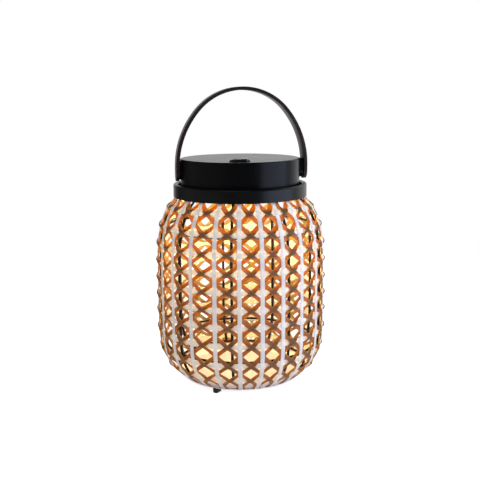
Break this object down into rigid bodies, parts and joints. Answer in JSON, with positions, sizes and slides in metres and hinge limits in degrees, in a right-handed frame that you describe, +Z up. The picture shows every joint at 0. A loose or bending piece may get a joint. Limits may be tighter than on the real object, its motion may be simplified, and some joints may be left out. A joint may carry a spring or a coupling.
{
  "type": "table lantern",
  "caption": "Rechargeable table lantern: woven strap barrel on a wire frame, round lamp unit with a push switch in a collar on top, and a fold-down carrying bail.",
  "frame": {"origin": "centre of the footprint on the table, under the feet", "axes": "+Z up, X along the pivots of the bail, -Y towards the front"},
  "size_m": [0.2068, 0.2072, 0.3555],
  "materials": {
    "rubber_black": "matt black rubber",
    "steel_screw": "zinc-plated steel",
    "base_cream": "cream moulded plastic, satin",
    "wire_black": "black powder-coated steel wire",
    "tape_white": "off-white translucent flat strap",
    "tape_brown": "brown translucent flat strap",
    "housing_black": "black plastic, satin",
    "plate_cream": "off-white plastic, matt",
    "led_board_white": "white solder mask on an aluminium core",
    "led_yellow": "phosphor-coated chip",
    "diffuser_opal": "opal plastic, satin",
    "cell_blue": "blue shrink sleeve over the steel can",
    "cradle_black": "black plastic, matt",
    "board_green": "green solder mask on glass-fibre board",
    "button_black": "dark grey plastic, satin",
    "pin_dark": "blackened steel",
    "bail_black": "brown-black plastic, satin"
  },
  "bodies": {
    "body": {"feet": "rubber_black", "foot_screws": "steel_screw", "base_disc": "base_cream", "base_rim": "base_cream", "bottom_ring": "wire_black", "frame_rods": "wire_black", "lower_hoop": "wire_black", "upper_hoop": "wire_black", "top_ring": "wire_black", "weave_strips": "tape_white", "weave_bands": "tape_white", "weave_straps_under": "tape_brown", "weave_straps_over": "tape_brown", "collar": "housing_black", "ring_screws": "steel_screw", "gasket": "rubber_black", "cap_housing": "housing_black", "cap_plate": "plate_cream", "cap_screws": "steel_screw", "led_board": "led_board_white", "led_chips": "led_yellow", "diffuser": "diffuser_opal", "battery_cell": "cell_blue", "battery_cradle": "cradle_black", "control_board": "board_green", "board_screws": "steel_screw", "tact_switch": "cradle_black", "charge_socket": "steel_screw", "switch_pad": "rubber_black", "left_pin": "pin_dark", "right_pin": "pin_dark", "left_spacer": "housing_black", "right_spacer": "housing_black", "left_nut": "steel_screw", "right_nut": "steel_screw"},
    "handle": {"bail": "bail_black"},
    "button": {"switch_button": "button_black"}
  },
  "joints": [
    {"name": "bail_pivot", "type": "hinge", "parent": "body", "child": "handle", "pos_m": [0, 0, 0.2555], "axis": [1, 0, 0], "range_deg": [-94, 94]},
    {"name": "button_press", "type": "slide", "parent": "body", "child": "button", "axis": [0, 0, -1], "range_m": [0, 0.0007], "stiffness_N_per_m": 400, "springref_m": -0.0015}
  ]
}
